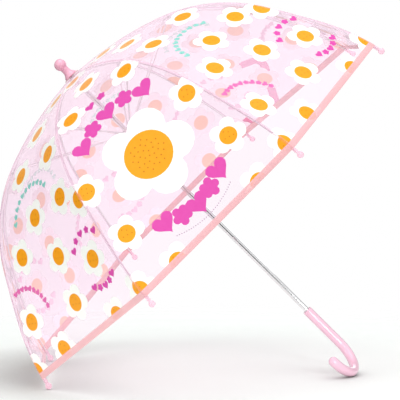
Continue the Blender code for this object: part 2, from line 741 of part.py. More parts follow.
def make_closing_strap(umbrella):
    """A film strap welded to the hem of one gore, lying bent on the outside of the canopy."""
    turn = RIB_STEP * (STRAP_PANEL + 1)
    route = [gore_point(share, across) + STRAP_LIFT * gore_normal(share) for share, across in STRAP_ROUTE]
    work = bmesh.new()
    rows = []
    for index, place in enumerate(route):
        along = route[min(index + 1, len(route) - 1)] - route[max(index - 1, 0)]
        side = gore_normal(STRAP_ROUTE[index][0]).cross(along).normalized() * STRAP_WIDTH / 2
        rows.append([work.verts.new(place - side - route[0]), work.verts.new(place + side - route[0])])
    for upper, lower in zip(rows, rows[1:]):
        work.faces.new((upper[0], lower[0], lower[1], upper[1]))
    strap = mesh_object("closing_strap", work)
    solid = strap.modifiers.new("film", "SOLIDIFY")
    solid.thickness = STRAP_THICKNESS
    solid.offset = 1
    finish_part(strap, "strap", umbrella)
    strap.rotation_euler = (0, 0, turn)
    strap.location = Matrix.Rotation(turn, 3, "Z") @ route[0]


def make_strap_stud(umbrella):
    """The press stud on the hem that the strap snaps on to."""
    share, across = STUD_PLACE
    turn = RIB_STEP * (STRAP_PANEL + 1)
    normal = gore_normal(share)
    stud = turned(
        "strap_stud",
        [
            (0, STUD_HEIGHT),
            (STUD_RADIUS * 0.45, STUD_HEIGHT),
            (STUD_RADIUS * 0.5, STUD_HEIGHT * 0.55),
            (STUD_RADIUS, STUD_HEIGHT * 0.4),
            (STUD_RADIUS, 0),
            (0, 0),
        ],
        16,
    )
    finish_part(stud, "strap", umbrella)
    lift = gore_point(share, across) + CLEARANCE * normal
    stud.rotation_euler = (0, math.atan2(normal.x, normal.z), turn)
    stud.location = Matrix.Rotation(turn, 3, "Z") @ lift


# Lying on the floor


def lowest_of_tips(lean):
    """Height under the crown of the lowest rib tips, with the shaft leaning from level by an angle."""
    centre = RIB_END + TIP_REACH * END_DIRECTION
    out = centre.x * math.cos(HALF_STEP)
    return centre.y * math.sin(lean) - out * math.cos(lean) - TIP_BALL_RADIUS


def lowest_of_hook(lean):
    """Height under the crown of the hook's underside, with the shaft leaning from level by an angle."""
    heights = [place.z * math.sin(lean) - place.x * math.cos(lean) for place, _ in hook_line()]
    return min(heights) - HANDLE_RADIUS


def lying_lean():
    """Lean at which both tips touch the floor while the hook's land rests on it."""
    low, high = math.radians(15), math.radians(75)
    for _ in range(50):
        lean = (low + high) / 2
        if lowest_of_hook(lean) + HOOK_LAND < lowest_of_tips(lean):
            high = lean
        else:
            low = lean
    return (low + high) / 2


def make_land_cutter(umbrella, lean):
    """A block under the floor that cuts the hook's flat land."""
    size = 6 * HANDLE_RADIUS
    work = bmesh.new()
    bmesh.ops.create_cube(work, size=size)
    cutter = add_cutter(mesh_object("hook_land_cutter", work), umbrella)
    floor = lowest_of_tips(lean)
    lowest = min(
        (place for place, _ in hook_line()), key=lambda p: p.z * math.sin(lean) - p.x * math.cos(lean)
    )
    down = Vector((math.cos(lean), 0, -math.sin(lean)))
    height = -lowest.dot(down)
    cutter.location = lowest + (height - floor + size / 2) * down
    cutter.rotation_euler = (0, lean - math.pi / 2, 0)
    return cutter


def stand_at_origin(umbrella):
    """Move the umbrella so that the middle of its box's underside is at the world's origin."""
    bpy.context.view_layer.update()
    graph = bpy.context.evaluated_depsgraph_get()
    low, high = Vector((1e9,) * 3), Vector((-1e9,) * 3)
    for obj in PARTS.objects:
        if obj.type == "EMPTY":
            continue
        evaluated = obj.evaluated_get(graph)
        mesh = evaluated.to_mesh()
        for vertex in mesh.vertices:
            place = evaluated.matrix_world @ vertex.co
            low = Vector(map(min, low, place))
            high = Vector(map(max, high, place))
        evaluated.to_mesh_clear()
    umbrella.location -= Vector(((low.x + high.x) / 2, (low.y + high.y) / 2, low.z))


def main():
    lean = lying_lean()
    umbrella = make_empty("umbrella")
    make_shaft(umbrella)
    make_stop_pin(umbrella)
    make_ferrule(umbrella)
    make_crown_washer(umbrella)
    make_top_notch(umbrella)
    make_notch_wire(umbrella)
    make_handle(umbrella, make_land_cutter(umbrella, lean))
    make_runner(umbrella)
    make_catch(umbrella, "top_catch", TOP_CATCH_HEIGHT, 1)
    make_catch(umbrella, "bottom_catch", BOTTOM_CATCH_HEIGHT, -1)
    for index in range(RIB_COUNT):
        make_rib_set(umbrella, index)
        make_gore(umbrella, index)
    make_closing_strap(umbrella)
    make_strap_stud(umbrella)
    umbrella.rotation_euler = (0, math.pi / 2 - lean, math.pi)
    stand_at_origin(umbrella)


clear_scene()
PARTS, CUTTERS = make_collections()
main()
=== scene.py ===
"""Looks of a child's dome umbrella of clear printed film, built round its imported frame.

Pieces are made in the umbrella's own axes and then laid down with it: +Z runs up the shaft to the ferrule,
z = 0 is the crown of the film, and rib i stands at RIB_STEP * (i + 0.5) round the shaft. Gore k lies between
ribs k and k + 1. A place on a gore is (v, lat): the way down its middle line from the crown, and sideways.
"""

import json
import math

import bmesh
import bpy
from mathutils import Matrix, Vector
from mathutils.geometry import delaunay_2d_cdt


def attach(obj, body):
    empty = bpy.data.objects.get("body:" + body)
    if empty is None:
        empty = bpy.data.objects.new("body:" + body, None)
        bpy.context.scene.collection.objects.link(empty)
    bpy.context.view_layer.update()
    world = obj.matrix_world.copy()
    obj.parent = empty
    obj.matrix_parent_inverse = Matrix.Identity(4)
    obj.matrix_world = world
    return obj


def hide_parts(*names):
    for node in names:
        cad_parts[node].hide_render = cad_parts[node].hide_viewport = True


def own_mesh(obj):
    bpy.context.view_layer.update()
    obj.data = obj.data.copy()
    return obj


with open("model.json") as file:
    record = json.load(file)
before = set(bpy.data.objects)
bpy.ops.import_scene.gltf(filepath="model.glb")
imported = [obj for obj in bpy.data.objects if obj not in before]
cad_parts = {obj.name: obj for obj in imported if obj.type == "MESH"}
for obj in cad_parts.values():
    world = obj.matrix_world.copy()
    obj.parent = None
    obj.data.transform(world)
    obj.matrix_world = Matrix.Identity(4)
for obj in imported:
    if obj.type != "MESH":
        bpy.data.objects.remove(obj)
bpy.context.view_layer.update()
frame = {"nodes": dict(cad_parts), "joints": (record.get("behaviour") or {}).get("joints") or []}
NODES = frame["nodes"]
JOINTS = {joint["name"]: joint for joint in frame["joints"]}

MM = 0.001

# Sizes that the solids were made with
RIB_COUNT = 8
RIB_SLOPES = (3, 9.6, 18.5, 37.4, 57, 60, 75)  # degrees below level, at equal steps along a rib
SHOULDER = 0.364  # share of a rib's arc at which its stretcher joint sits
NOTCH_PIVOT_DEPTH = 4.2 * MM
SHAFT_RADIUS = 4 * MM
HANDLE_TOP_DEPTH = 492.5 * MM
HANDLE_RADIUS = 7.2 * MM
HANDLE_STRAIGHT = 70 * MM
HANDLE_BORE_DEPTH = 50 * MM
HANDLE_MOUTH_RADIUS = 5.5 * MM
HANDLE_MOUTH_DEPTH = 6 * MM
HOOK_RADIUS = 36.6 * MM
HOOK_TURN = math.radians(69)
FERRULE_BALL_RADIUS = 9 * MM
FERRULE_BALL_HEIGHT = 24.1 * MM
FERRULE_NECK_RADIUS = 5.8 * MM
FERRULE_SKIRT_RADIUS = 10.5 * MM
TIP_BALL_RADIUS = 4.7 * MM
TIP_NECK_RADIUS = 2.6 * MM
TIP_REACH = 12.5 * MM
RIB_DEPTH = 2.5 * MM
STRAP_GORE = 4
STRAP_ROUTE = (  # share of the rib's arc, share of the half width
    (0.985, 0.31),
    (0.935, 0.17),
    (0.885, 0.01),
    (0.845, -0.13),
    (0.815, -0.13),
    (0.80, -0.03),
    (0.787, 0.08),
)
STUD_PLACE = (0.965, 0.83)

# Sizes of the film and what is sewn to it
FILM_THICKNESS = 0.3 * MM
FILM_BOW = 2.5 * MM  # how far a gore hangs in between its ribs at the hem
PUCKER_HEIGHT = 0.35 * MM
PUCKER_LENGTH = 26 * MM
PUCKER_REACH = 16 * MM
MESH_STEP = 6.5  # millimetres between the points of a gore's mesh
TAPE_WIDTH = 9 * MM
TAPE_THICKNESS = 0.35 * MM
SEAM_WIDTH = 5 * MM
SEAM_THICKNESS = 0.3 * MM
STITCH_PITCH = 3.2 * MM
STITCH_LENGTH = 2.3 * MM
STITCH_THICKNESS = 0.42 * MM
STRAP_WIDTH = 14 * MM
STRAP_THICKNESS = 0.6 * MM
LOFT_WELD = 1e-6  # metres within which points are joined up
SOLID_WELD = 1e-5
FILM_HOLE_RADIUS = 5.8 * MM  # of the film's corners at the crown
SEAM_START = 12 * MM
HAZE_REACH = 0.26  # metres from the crown over which the film and the inks grow cloudy
INK_HAZE_REACH = 0.16
INK_HAZE = 0.75

RIB_STEP = 2 * math.pi / RIB_COUNT
HALF_STEP = RIB_STEP / 2


# The umbrella's own axes, from its joints


def umbrella_axes():
    """Matrix from the umbrella's own axes to the frame's."""
    up = -Vector(JOINTS["runner_slide"]["axis"]).normalized()
    hinges = [JOINTS[f"upper_rib_{index}_hinge"] for index in range(RIB_COUNT)]
    hub = sum((Vector(hinge["pos_m"]) for hinge in hinges), Vector()) / RIB_COUNT
    crown = hub + NOTCH_PIVOT_DEPTH * up
    out = sum((Vector(hinges[index]["axis"]).cross(up) for index in (0, RIB_COUNT - 1)), Vector())
    out = (out - out.dot(up) * up).normalized()
    side = up.cross(out)
    axes = Matrix((out, side, up)).transposed().to_4x4()
    return Matrix.Translation(crown) @ axes


UMBRELLA = umbrella_axes()
TO_UMBRELLA = UMBRELLA.inverted()


def gore_turn(gore):
    return Matrix.Rotation(RIB_STEP * (gore + 1), 4, "Z")


def rib_turn(rib):
    return Matrix.Rotation(RIB_STEP * (rib + 0.5), 4, "Z")


# Shape of the film


def hem_corner():
    """(radius, depth) of the hem at a rib, read from a packed panel."""
    to_gore = gore_turn(0).inverted() @ TO_UMBRELLA
    points = [to_gore @ vertex.co for vertex in NODES["lower_panel_0"].data.vertices]
    hem = max(points, key=lambda point: point.x)
    return hem.x / math.cos(HALF_STEP), -hem.z


def slope_at(share):
    place = min(max(share, 0), 1) * (len(RIB_SLOPES) - 1)
    index = min(int(place), len(RIB_SLOPES) - 2)
    return math.radians(RIB_SLOPES[index] + (place - index) * (RIB_SLOPES[index + 1] - RIB_SLOPES[index]))


def film_profile(steps=240):
    """Rows (v, radius, height): the film over a rib, by the length down the middle of a gore."""
    rows = [(0.0, 0.0)]
    for step in range(steps):
        slope = slope_at((step + 0.5) / steps)
        rows.append((rows[-1][0] + math.cos(slope), rows[-1][1] - math.sin(slope)))
    radius, depth = hem_corner()
    wide, deep = radius / rows[-1][0], -depth / rows[-1][1]
    rows = [(r * wide, z * deep) for r, z in rows]
    profile, v = [(0.0, 0.0, 0.0)], 0.0
    for (r0, z0), (r1, z1) in zip(rows, rows[1:]):
        v += math.hypot((r1 - r0) * math.cos(HALF_STEP), z1 - z0)
        profile.append((v, r1, z1))
    return profile


PROFILE = film_profile()
HEM = PROFILE[-1][0]


def film_at(v):
    """(radius, height, way down) of the film over a rib. Past the hem it runs on straight."""
    low, high = 0, len(PROFILE) - 1
    while high - low > 1:
        middle = (low + high) // 2
        low, high = (middle, high) if PROFILE[middle][0] <= v else (low, middle)
    (v0, r0, z0), (v1, r1, z1) = PROFILE[low], PROFILE[high]
    share = (v - v0) / (v1 - v0)
    down = Vector(((r1 - r0) * math.cos(HALF_STEP), 0, z1 - z0)).normalized()
    return r0 + share * (r1 - r0), z0 + share * (z1 - z0), down


def v_at_share(share):
    """Way down a gore's middle at a share of the rib's arc."""
    place = share * (len(PROFILE) - 1)
    index = min(int(place), len(PROFILE) - 2)
    return PROFILE[index][0] + (place - index) * (PROFILE[index + 1][0] - PROFILE[index][0])


SHOULDER_V = v_at_share(SHOULDER)
RIB_ARC = sum(math.hypot(b[1] - a[1], b[2] - a[2]) for a, b in zip(PROFILE, PROFILE[1:]))


def half_width(v):
    return film_at(v)[0] * math.sin(HALF_STEP)


def hang(v, lat):
    """How far the film stands out of the straight line between its ribs."""
    half = max(half_width(v), MM)
    inside = max(1 - (lat / half) ** 2, 0)
    bow = -FILM_BOW * inside * v / HEM
    pucker = PUCKER_HEIGHT * math.sin(2 * math.pi * v / PUCKER_LENGTH)
    return bow + pucker * math.exp(-(half - abs(lat)) / PUCKER_REACH) * min(inside * 4, 1)


def on_gore(v, lat, lift=0.0):
    """Point on a gore's outer face, or lifted off it, in the gore's own axes."""
    radius, height, down = film_at(v)
    normal = down.cross(Vector((0, 1, 0)))
    return Vector((radius * math.cos(HALF_STEP), lat, height)) + (lift + hang(v, lat)) * normal


def gore_normal(v, lat):
    step = 0.5 * MM
    down = on_gore(v + step, lat) - on_gore(v - step, lat)
    side = on_gore(v, lat + step) - on_gore(v, lat - step)
    return down.cross(side).normalized()


# Colours and materials


def linear(hex_colour, alpha=1.0):
    """Linear colour of an sRGB hex value."""
    values = [int(hex_colour[index : index + 2], 16) / 255 for index in (1, 3, 5)]
    return (*(x / 12.92 if x <= 0.04045 else ((x + 0.055) / 1.055) ** 2.4 for x in values), alpha)


def add_node(tree, kind, settings=None, inputs=None):
    """Add a node, set its properties, and fill or link its inputs."""
    node = tree.nodes.new(kind)
    for name, value in (settings or {}).items():
        setattr(node, name, value)
    for name, value in (inputs or {}).items():
        if isinstance(value, bpy.types.NodeSocket):
            tree.links.new(value, node.inputs[name])
        else:
            node.inputs[name].default_value = value
    return node


def new_material(name):
    """An empty material and its node tree."""
    material = bpy.data.materials.new(name)
    material.use_nodes = True
    material.node_tree.nodes.clear()
    return material, material.node_tree


def finish_surface(tree, shader):
    add_node(tree, "ShaderNodeOutputMaterial", inputs={"Surface": shader})


def calculated(tree, operation, *values):
    return add_node(tree, "ShaderNodeMath", {"operation": operation}, dict(enumerate(values))).outputs[0]


def spread(tree, value, low, high):
    """A value from 0 to 1, spread between two others."""
    inputs = {"Value": value, "To Min": low, "To Max": high}
    return add_node(tree, "ShaderNodeMapRange", inputs=inputs).outputs[0]


def noise_bump(tree, scale, strength, distance):
    """A noise in object space and a normal from it: scale is in patches per metre."""
    place = add_node(tree, "ShaderNodeTexCoord")
    inputs = {"Vector": place.outputs["Object"], "Scale": scale, "Detail": 2.0}
    patches = add_node(tree, "ShaderNodeTexNoise", inputs=inputs).outputs["Fac"]
    inputs = {"Strength": strength, "Distance": distance, "Height": patches}
    return patches, add_node(tree, "ShaderNodeBump", inputs=inputs).outputs["Normal"]


def mixed_colour(tree, factor, first, second):
    """A colour between two others, each a hex value or a socket."""
    first, second = (linear(colour) if isinstance(colour, str) else colour for colour in (first, second))
    mix = add_node(tree, "ShaderNodeMix", {"data_type": "RGBA"}, {0: factor, 6: first, 7: second})
    return mix.outputs[2]


def near_crown(tree, reach):
    """1 at the crown of the umbrella, falling to 0 at a reach from it."""
    place = add_node(tree, "ShaderNodeTexCoord")
    ends = {0: place.outputs["Object"], 1: UMBRELLA.translation}
    away = add_node(tree, "ShaderNodeVectorMath", {"operation": "DISTANCE"}, ends).outputs["Value"]
    fall = {"Value": away, "From Max": reach, "To Min": 1.0, "To Max": 0.0}
    return add_node(tree, "ShaderNodeMapRange", {"interpolation_type": "SMOOTHSTEP"}, fall).outputs[0]


def clear_sheet(name, passed, body, least, most, blend, roughness=0.06, haze=0.0, painted_glow=0.0):
    """Clear plasticised PVC: light goes through with a tint, and it turns milky and glossy edge on.

    Haze is how much denser it gets towards the crown, and glow is painted light: an emission in the sheet's
    body colour that stands in for the light that comes through it and its ink.
    """
    material, tree = new_material(name)
    _, normal = noise_bump(tree, 22, 0.3, 1.2 * MM)
    edge = add_node(tree, "ShaderNodeLayerWeight", inputs={"Blend": blend, "Normal": normal})
    cover = spread(tree, edge.outputs["Facing"], least, most)
    if haze:
        cover = calculated(tree, "MULTIPLY_ADD", near_crown(tree, HAZE_REACH), haze, cover)
    clear = add_node(tree, "ShaderNodeBsdfTransparent", inputs={"Color": linear(passed)})
    solid = add_node(
        tree,
        "ShaderNodeBsdfPrincipled",
        inputs={
            "Base Color": linear(body),
            "Roughness": roughness,
            "IOR": 1.53,
            # painted glow: an emission in the body colour that stands in for light coming through the sheet
            "Emission Color": linear(body),
            "Emission Strength": painted_glow,
            "Normal": normal,
        },
    )
    mix = add_node(tree, "ShaderNodeMixShader", inputs={0: cover, 1: clear.outputs[0], 2: solid.outputs[0]})
    finish_surface(tree, mix.outputs[0])
    return material


def moulded_plastic(name, low, high, roughness, coat, ior=1.49, scale=60, bump=0.02):
    """A moulding: near-even colour, a fine skin texture and a clear gloss."""
    material, tree = new_material(name)
    patches, normal = noise_bump(tree, scale, bump, 0.4 * MM)
    shader = add_node(
        tree,
        "ShaderNodeBsdfPrincipled",
        inputs={
            "Base Color": mixed_colour(tree, patches, low, high),
            "Roughness": spread(tree, patches, roughness * 0.85, roughness * 1.2),
            "IOR": ior,
            "Coat Weight": coat,
            "Coat Roughness": 0.05,
            "Normal": normal,
        },
    )
    finish_surface(tree, shader.outputs[0])
    return material


def bright_metal(name, low, high, roughness, grain_scale):
    """Polished metal: fine drawing lines down the shaft break up its reflections."""
    material, tree = new_material(name)
    place = add_node(tree, "ShaderNodeTexCoord")
    turn = UMBRELLA.to_3x3().inverted().to_euler()
    lines = add_node(
        tree,
        "ShaderNodeMapping",
        inputs={"Vector": place.outputs["Object"], "Rotation": turn, "Scale": (1, 1, 0.02)},
    )
    noise = add_node(
        tree, "ShaderNodeTexNoise", inputs={"Vector": lines.outputs[0], "Scale": grain_scale, "Detail": 3.0}
    )
    shader = add_node(
        tree,
        "ShaderNodeBsdfPrincipled",
        inputs={
            "Base Color": mixed_colour(tree, noise.outputs["Fac"], low, high),
            "Metallic": 1.0,
            "Roughness": spread(tree, noise.outputs["Fac"], roughness * 0.7, roughness * 1.5),
        },
    )
    finish_surface(tree, shader.outputs[0])
    return material


def screen_ink(name, low, high, hazed):
    """Opaque screen ink under film: even colour with a faint mottle, hazed over towards the crown."""
    material, tree = new_material(name)
    patches, normal = noise_bump(tree, 180, 0.04, 0.4 * MM)
    plain = mixed_colour(tree, patches, low, high)
    haze = calculated(tree, "MULTIPLY", near_crown(tree, INK_HAZE_REACH), INK_HAZE)
    shader = add_node(
        tree,
        "ShaderNodeBsdfPrincipled",
        inputs={
            "Base Color": mixed_colour(tree, haze, plain, hazed),
            "Roughness": 0.3,
            "Specular IOR Level": 0.22,
            "Normal": normal,
        },
    )
    finish_surface(tree, shader.outputs[0])
    return material


def make_materials():
    """Sheets give the colours passed and seen, least and most cover, blend, roughness."""
    return {
        # Pale lilac-pink PVC: nearly clear face on, pink and bright edge on, cloudier at the crown
        "film": clear_sheet(
            "clear_pink_pvc_film", "#FEFAFD", "#FBE6F1", 0.03, 0.42, 0.2, haze=0.13, painted_glow=0.16
        ),
        # Two layers of film welded together: a little denser than the film
        "seam": clear_sheet("welded_film_seam", "#FEFAFC", "#F6DCE8", 0.045, 0.4, 0.25, 0.14, painted_glow=0.14),
        # PVC binding tape: salmon pink, nearly opaque
        "tape": clear_sheet("salmon_pvc_binding", "#FDF2F2", "#F6C9CD", 0.62, 0.8, 0.25, 0.22, painted_glow=0.12),
        # Strap of heavier pink film
        "strap": clear_sheet("pink_pvc_strap", "#FDEAF2", "#F3AACA", 0.32, 0.6, 0.3, 0.12, painted_glow=0.2),
        "strap_patch": clear_sheet("pink_pvc_patch", "#F8C3D6", "#EC8FB3", 0.4, 0.8, 0.3, 0.14, painted_glow=0.3),
        # Pink PVC reinforcing disc under the ferrule
        "crown_patch": clear_sheet("pink_pvc_crown_disc", "#F8C6D2", "#EBA0B2", 0.5, 0.85, 0.3, 0.2),
        # Polyester sewing thread: pale pink, dull
        "thread": moulded_plastic("pink_polyester_thread", "#F3C3CB", "#F8D6DA", 0.6, 0.0, scale=900),
        "white": screen_ink("white_screen_ink", "#FDFEF7", "#FFFFFC", "#FBEFF2"),
        "orange": screen_ink("orange_screen_ink", "#FBA922", "#F89F18", "#F2C6A0"),
        "seed": screen_ink("ochre_screen_ink", "#D98416", "#C87412", "#E8BC98"),
        "magenta": screen_ink("magenta_screen_ink", "#E055B0", "#DB4AA8", "#EBA3CC"),
        "pink": screen_ink("pink_screen_ink", "#EA76B6", "#E66CAF", "#EFB0D0"),
        "mint": screen_ink("mint_screen_ink", "#97D8CE", "#88D0C5", "#BFDFDC"),
        "grey": screen_ink("mauve_screen_ink", "#B58FAE", "#AC85A5", "#CDB2C8"),
        # The ink's underside, seen through the film: a pale tint of its face, with a painted glow that stands
        # in for the light through it
        "white_back": clear_sheet("white_ink_underside", "#FFFDFD", "#FBEDF4", 0.95, 1.0, 0.25, 0.2, 0, 0.18),
        "orange_back": clear_sheet(
            "orange_ink_underside", "#F9CDBF", "#F5C9B8", 0.97, 1.0, 0.25, 0.2, 0, 0.2
        ),
        "pink_back": clear_sheet("pink_ink_underside", "#F6CDE4", "#F2D2E4", 0.95, 1.0, 0.25, 0.2, 0, 0.2),
        "mint_back": clear_sheet("mint_ink_underside", "#D8EEEA", "#DCEDEA", 0.95, 1.0, 0.25, 0.2, 0, 0.2),
        # Glossy pink ABS
        "handle": moulded_plastic("glossy_pink_abs", "#F1C2D5", "#F3C8DA", 0.12, 0.6, 1.5, 40, 0.006),
        # Pink polypropylene
        "ferrule": moulded_plastic("pink_polypropylene", "#EFAFC6", "#F2B7CC", 0.24, 0.2, 1.49, 90, 0.01),
        # Clear pink soft PVC
        "tip": clear_sheet("clear_pink_soft_pvc", "#FDEEF4", "#F8D0DF", 0.3, 0.8, 0.35, 0.12, painted_glow=0.2),
        # Chrome-plated steel tube
        "shaft": bright_metal("chrome_plated_steel", "#EDEDEF", "#F4F4F5", 0.07, 900),
        "spring_steel": bright_metal("bright_spring_steel", "#C9C9CC", "#D6D6D8", 0.2, 1200),
        # White-enamelled flat steel ribs, greyer where the enamel is thin
        "rib": moulded_plastic("white_enamelled_steel", "#EFEAED", "#F6F2F4", 0.3, 0.2, 1.5, 160, 0.05),
        "nylon": moulded_plastic("white_nylon", "#F5F1F2", "#FAF7F8", 0.38, 0.0, 1.53, 120, 0.04),
        "rivet": bright_metal("nickel_plated_rivet", "#C8C4C2", "#D4D1CF", 0.25, 1500),
    }


MATERIALS = make_materials()


# Making pieces


def link(obj):
    bpy.context.scene.collection.objects.link(obj)
    return obj


def apply_modifiers(piece):
    """Keep the mesh that the modifiers make, and drop them."""
    graph = bpy.context.evaluated_depsgraph_get()
    mesh = bpy.data.meshes.new_from_object(piece.evaluated_get(graph))
    piece.modifiers.clear()
    piece.data = mesh


def finish_piece(obj, body, materials=(), replaces=(), sharp=40):
    """Link a finished piece, give it its materials and hang it on its body."""
    if obj.name not in bpy.context.scene.collection.objects:
        link(obj)
    for name in materials:
        obj.data.materials.append(MATERIALS[name])
    if sharp:
        obj.data.shade_smooth()
        obj.data.set_sharp_from_angle(angle=math.radians(sharp))
    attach(obj, body)
    if replaces:
        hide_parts(*replaces)
    return obj


def mesh_piece(name, points, faces):
    mesh = bpy.data.meshes.new(name)
    mesh.from_pydata(points, [], faces)
    mesh.update()
    return bpy.data.objects.new(name, mesh)


def loft(name, rings):
    """A closed skin over rings of points, with a fan over each end and its faces outward."""
    points = [point for ring in rings for point in ring]
    count = len(rings[0])
    faces = []
    for row in range(len(rings) - 1):
        low, high = row * count, (row + 1) * count
        for index in range(count):
            after = (index + 1) % count
            faces.append((low + index, low + after, high + after, high + index))
    for row, flip in ((0, True), (len(rings) - 1, False)):
        start = row * count
        centre = sum((Vector(point) for point in rings[row]), Vector()) / count
        points.append(centre)
        for index in range(count):
            a, b = start + index, start + (index + 1) % count
            faces.append((b, a, len(points) - 1) if flip else (a, b, len(points) - 1))
    piece = mesh_piece(name, points, faces)
    work = bmesh.new()
    work.from_mesh(piece.data)
    bmesh.ops.remove_doubles(work, verts=work.verts, dist=LOFT_WELD)
    bmesh.ops.recalc_face_normals(work, faces=work.faces)
    work.to_mesh(piece.data)
    work.free()
    return piece


def rounded(corners, radius, steps=4):
    """A profile line with its inner corners rounded off, each by at most a third of its shorter side."""
    line = [Vector(corners[0])]
    for before, here, after in zip(corners, corners[1:], corners[2:]):
        here = Vector(here)
        back, on = Vector(before) - here, Vector(after) - here
        reach = min(radius, back.length / 3, on.length / 3)
        first, last = here + reach * back.normalized(), here + reach * on.normalized()
        for step in range(steps + 1):
            t = step / steps
            line.append((1 - t) ** 2 * first + 2 * t * (1 - t) * here + t * t * last)
    line.append(Vector(corners[-1]))
    return line


def lathe(name, profile, matrix, sides=40):
    """A turned piece: its profile of (radius, height) runs from one end of the axis to the other."""
    rings = []
    for radius, height in profile:
        ring = []
        for index in range(sides):
            turn = 2 * math.pi * index / sides
            ring.append(matrix @ Vector((radius * math.cos(turn), radius * math.sin(turn), height)))
        rings.append(ring)
    return loft(name, rings)


def refined(node, body, material, bevel=0.2 * MM, sharp=35):
    """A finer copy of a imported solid: joined up, with its edges eased so that they catch the light."""
    work = bmesh.new()
    work.from_mesh(NODES[node].data)
    bmesh.ops.remove_doubles(work, verts=work.verts, dist=SOLID_WELD)
    flat = math.radians(0.5)
    bmesh.ops.dissolve_limit(work, angle_limit=flat, verts=work.verts, edges=work.edges)
    mesh = bpy.data.meshes.new(node + "_finished")
    work.to_mesh(mesh)
    work.free()
    piece = link(bpy.data.objects.new(node + "_finished", mesh))
    if bevel:
        ease = piece.modifiers.new("eased edges", "BEVEL")
        ease.width = bevel
        ease.segments = 2
        ease.limit_method = "ANGLE"
        ease.angle_limit = math.radians(sharp)
        apply_modifiers(piece)
    return finish_piece(piece, body, [material], [node], sharp)


def flatten_with_gore(piece):
    """Give a piece its own copy of its mesh."""
    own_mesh(piece)


def trim_piece(piece, gore, materials=(), replaces=()):
    """Finish a piece that is sewn or welded to the lower part of a gore."""
    finish_piece(piece, f"lower_panel_{gore}", materials, replaces)
    flatten_with_gore(piece)


# Print on the film: outlines in millimetres, as (way down from the crown, sideways)

PETAL_REACH, PETAL_RADIUS = 15.4, 10.8
DAISY_DISC, BIG_DAISY_DISC = 12.6, 35
BIG_DAISY_SIZE = 2.6
SEED_SPREAD = 0.74  # share of the disc that its seeds fill
HEART_UNITS = 29  # height of the heart curve below


def ring_outline(centre, radius, count):
    turns = [2 * math.pi * index / count for index in range(count)]
    return [centre + radius * Vector((math.cos(turn), math.sin(turn))) for turn in turns]


def petal_outline(centre, reach, radius, turn, petals=5, steps=9):
    """Outline of round petals that overlap at their sides: their circles sit at a reach from the centre."""
    outline = []
    for petal in range(petals):
        for step in range(steps):
            aside = math.pi / petals * (2 * step / steps - 1)
            out = reach * math.cos(aside) + math.sqrt(radius**2 - (reach * math.sin(aside)) ** 2)
            angle = turn + 2 * math.pi * petal / petals + aside
            outline.append(centre + out * Vector((math.cos(angle), math.sin(angle))))
    return outline


def heart_outline(centre, height, turn, steps=22):
    """A heart with its point at turn."""
    outline = []
    for index in range(steps):
        t = 2 * math.pi * index / steps
        across = 16 * math.sin(t) ** 3
        along = -(13 * math.cos(t) - 5 * math.cos(2 * t) - 2 * math.cos(3 * t) - math.cos(4 * t))
        way = Vector((math.cos(turn), math.sin(turn)))
        side = Vector((-way.y, way.x))
        outline.append(centre + height / HEART_UNITS * (along * way - across * side))
    return outline


def daisy(centre, size, disc, seeds):
    """A five-petalled daisy with a petal towards the hem: white petals, an orange disc and a few seeds."""
    petals = petal_outline(centre, PETAL_REACH * size, PETAL_RADIUS * size, 0.0)
    shapes = [("white", petals), ("orange", ring_outline(centre, disc, 30))]
    golden = math.pi * (3 - math.sqrt(5))
    for index in range(seeds):
        out = disc * SEED_SPREAD * math.sqrt((index + 0.3) / seeds)
        place = centre + out * Vector((math.cos(golden * index), math.sin(golden * index)))
        shapes.append(("seed", ring_outline(place, 0.8 + disc * 0.014, 6)))
    return shapes


def along_arc(centre, radius, first, last, count):
    """(angle, place) of each thing on an arc from first to last, in degrees from the way to the crown."""
    for index in range(count):
        angle = math.pi - math.radians(first + (last - first) * index / (count - 1))
        yield angle, centre + radius * Vector((math.cos(angle), math.sin(angle)))


def charms(centre, radius, first, last, count, size, ink):
    """Hearts and blossoms in turn along an arc."""
    shapes = []
    for index, (angle, place) in enumerate(along_arc(centre, radius, first, last, count)):
        if index % 2:
            shapes.append((ink, petal_outline(place, size * 0.29, size * 0.2, angle, steps=5)))
        else:
            shapes.append((ink, heart_outline(place, size, 0.0)))
    return shapes


def dots(centre, radius, first, last, count, size, ink):
    places = along_arc(centre, radius, first, last, count)
    return [(ink, ring_outline(place, size / 2, 6)) for _, place in places]


# Places of the daisies: millimetres down along a rib, and sideways
BIG_DAISY = (347, -2)
FRONT_DAISIES = (
    (62, -6), (136, 6), (203, 56), (193, -44), (323, 92), (321, -97),
    (408, -97), (412, 90), (486, -74), (488, 75), (477, 137), (477, -137),
)  # fmt: skip
PLAIN_DAISIES = (
    (75, 10), (141, -4), (209, -28), (216, 50), (293, -3), (296, 66), (328, -60), (320, 104), (364, 16),
    (401, 82), (414, -96), (433, 8), (474, -62), (484, 71), (474, 138), (474, -138),
)  # fmt: skip
FRONT_GORE = 1


def on_film(place):
    """A print's place: the way down is given along a rib, and the flat gore is a little shorter."""
    return Vector((v_at_share(place[0] * MM / RIB_ARC) / MM, place[1]))


def gore_print(gore):
    """All the shapes printed on a gore, in drawing order."""
    shapes = []
    for place in FRONT_DAISIES if gore == FRONT_GORE else PLAIN_DAISIES:
        shapes += daisy(on_film(place), 1.0, DAISY_DISC, 5)
    if gore == FRONT_GORE:
        middle = on_film(BIG_DAISY)
        shapes += charms(middle, 100, -35, 35, 5, 30, "magenta")
        shapes += charms(middle, 100, 150, 210, 5, 30, "magenta")
        shapes += charms(middle, 136, -4.5, 4.5, 2, 15, "magenta")
        shapes += dots(middle, 122, 156, 204, 30, 1.6, "grey")
        shapes += daisy(middle, BIG_DAISY_SIZE, BIG_DAISY_DISC, 34)
        return shapes
    shapes += charms(on_film((293, -3)), 50, -75, 50, 11, 9, "mint")
    shapes += charms(on_film((414, -96)), 48, -10, 85, 10, 9, "pink")
    shapes += charms(on_film((401, 82)), 40, -50, 40, 5, 11, "magenta")
    shapes += charms(on_film((401, 82)), 40, 145, 215, 5, 11, "magenta")
    return shapes


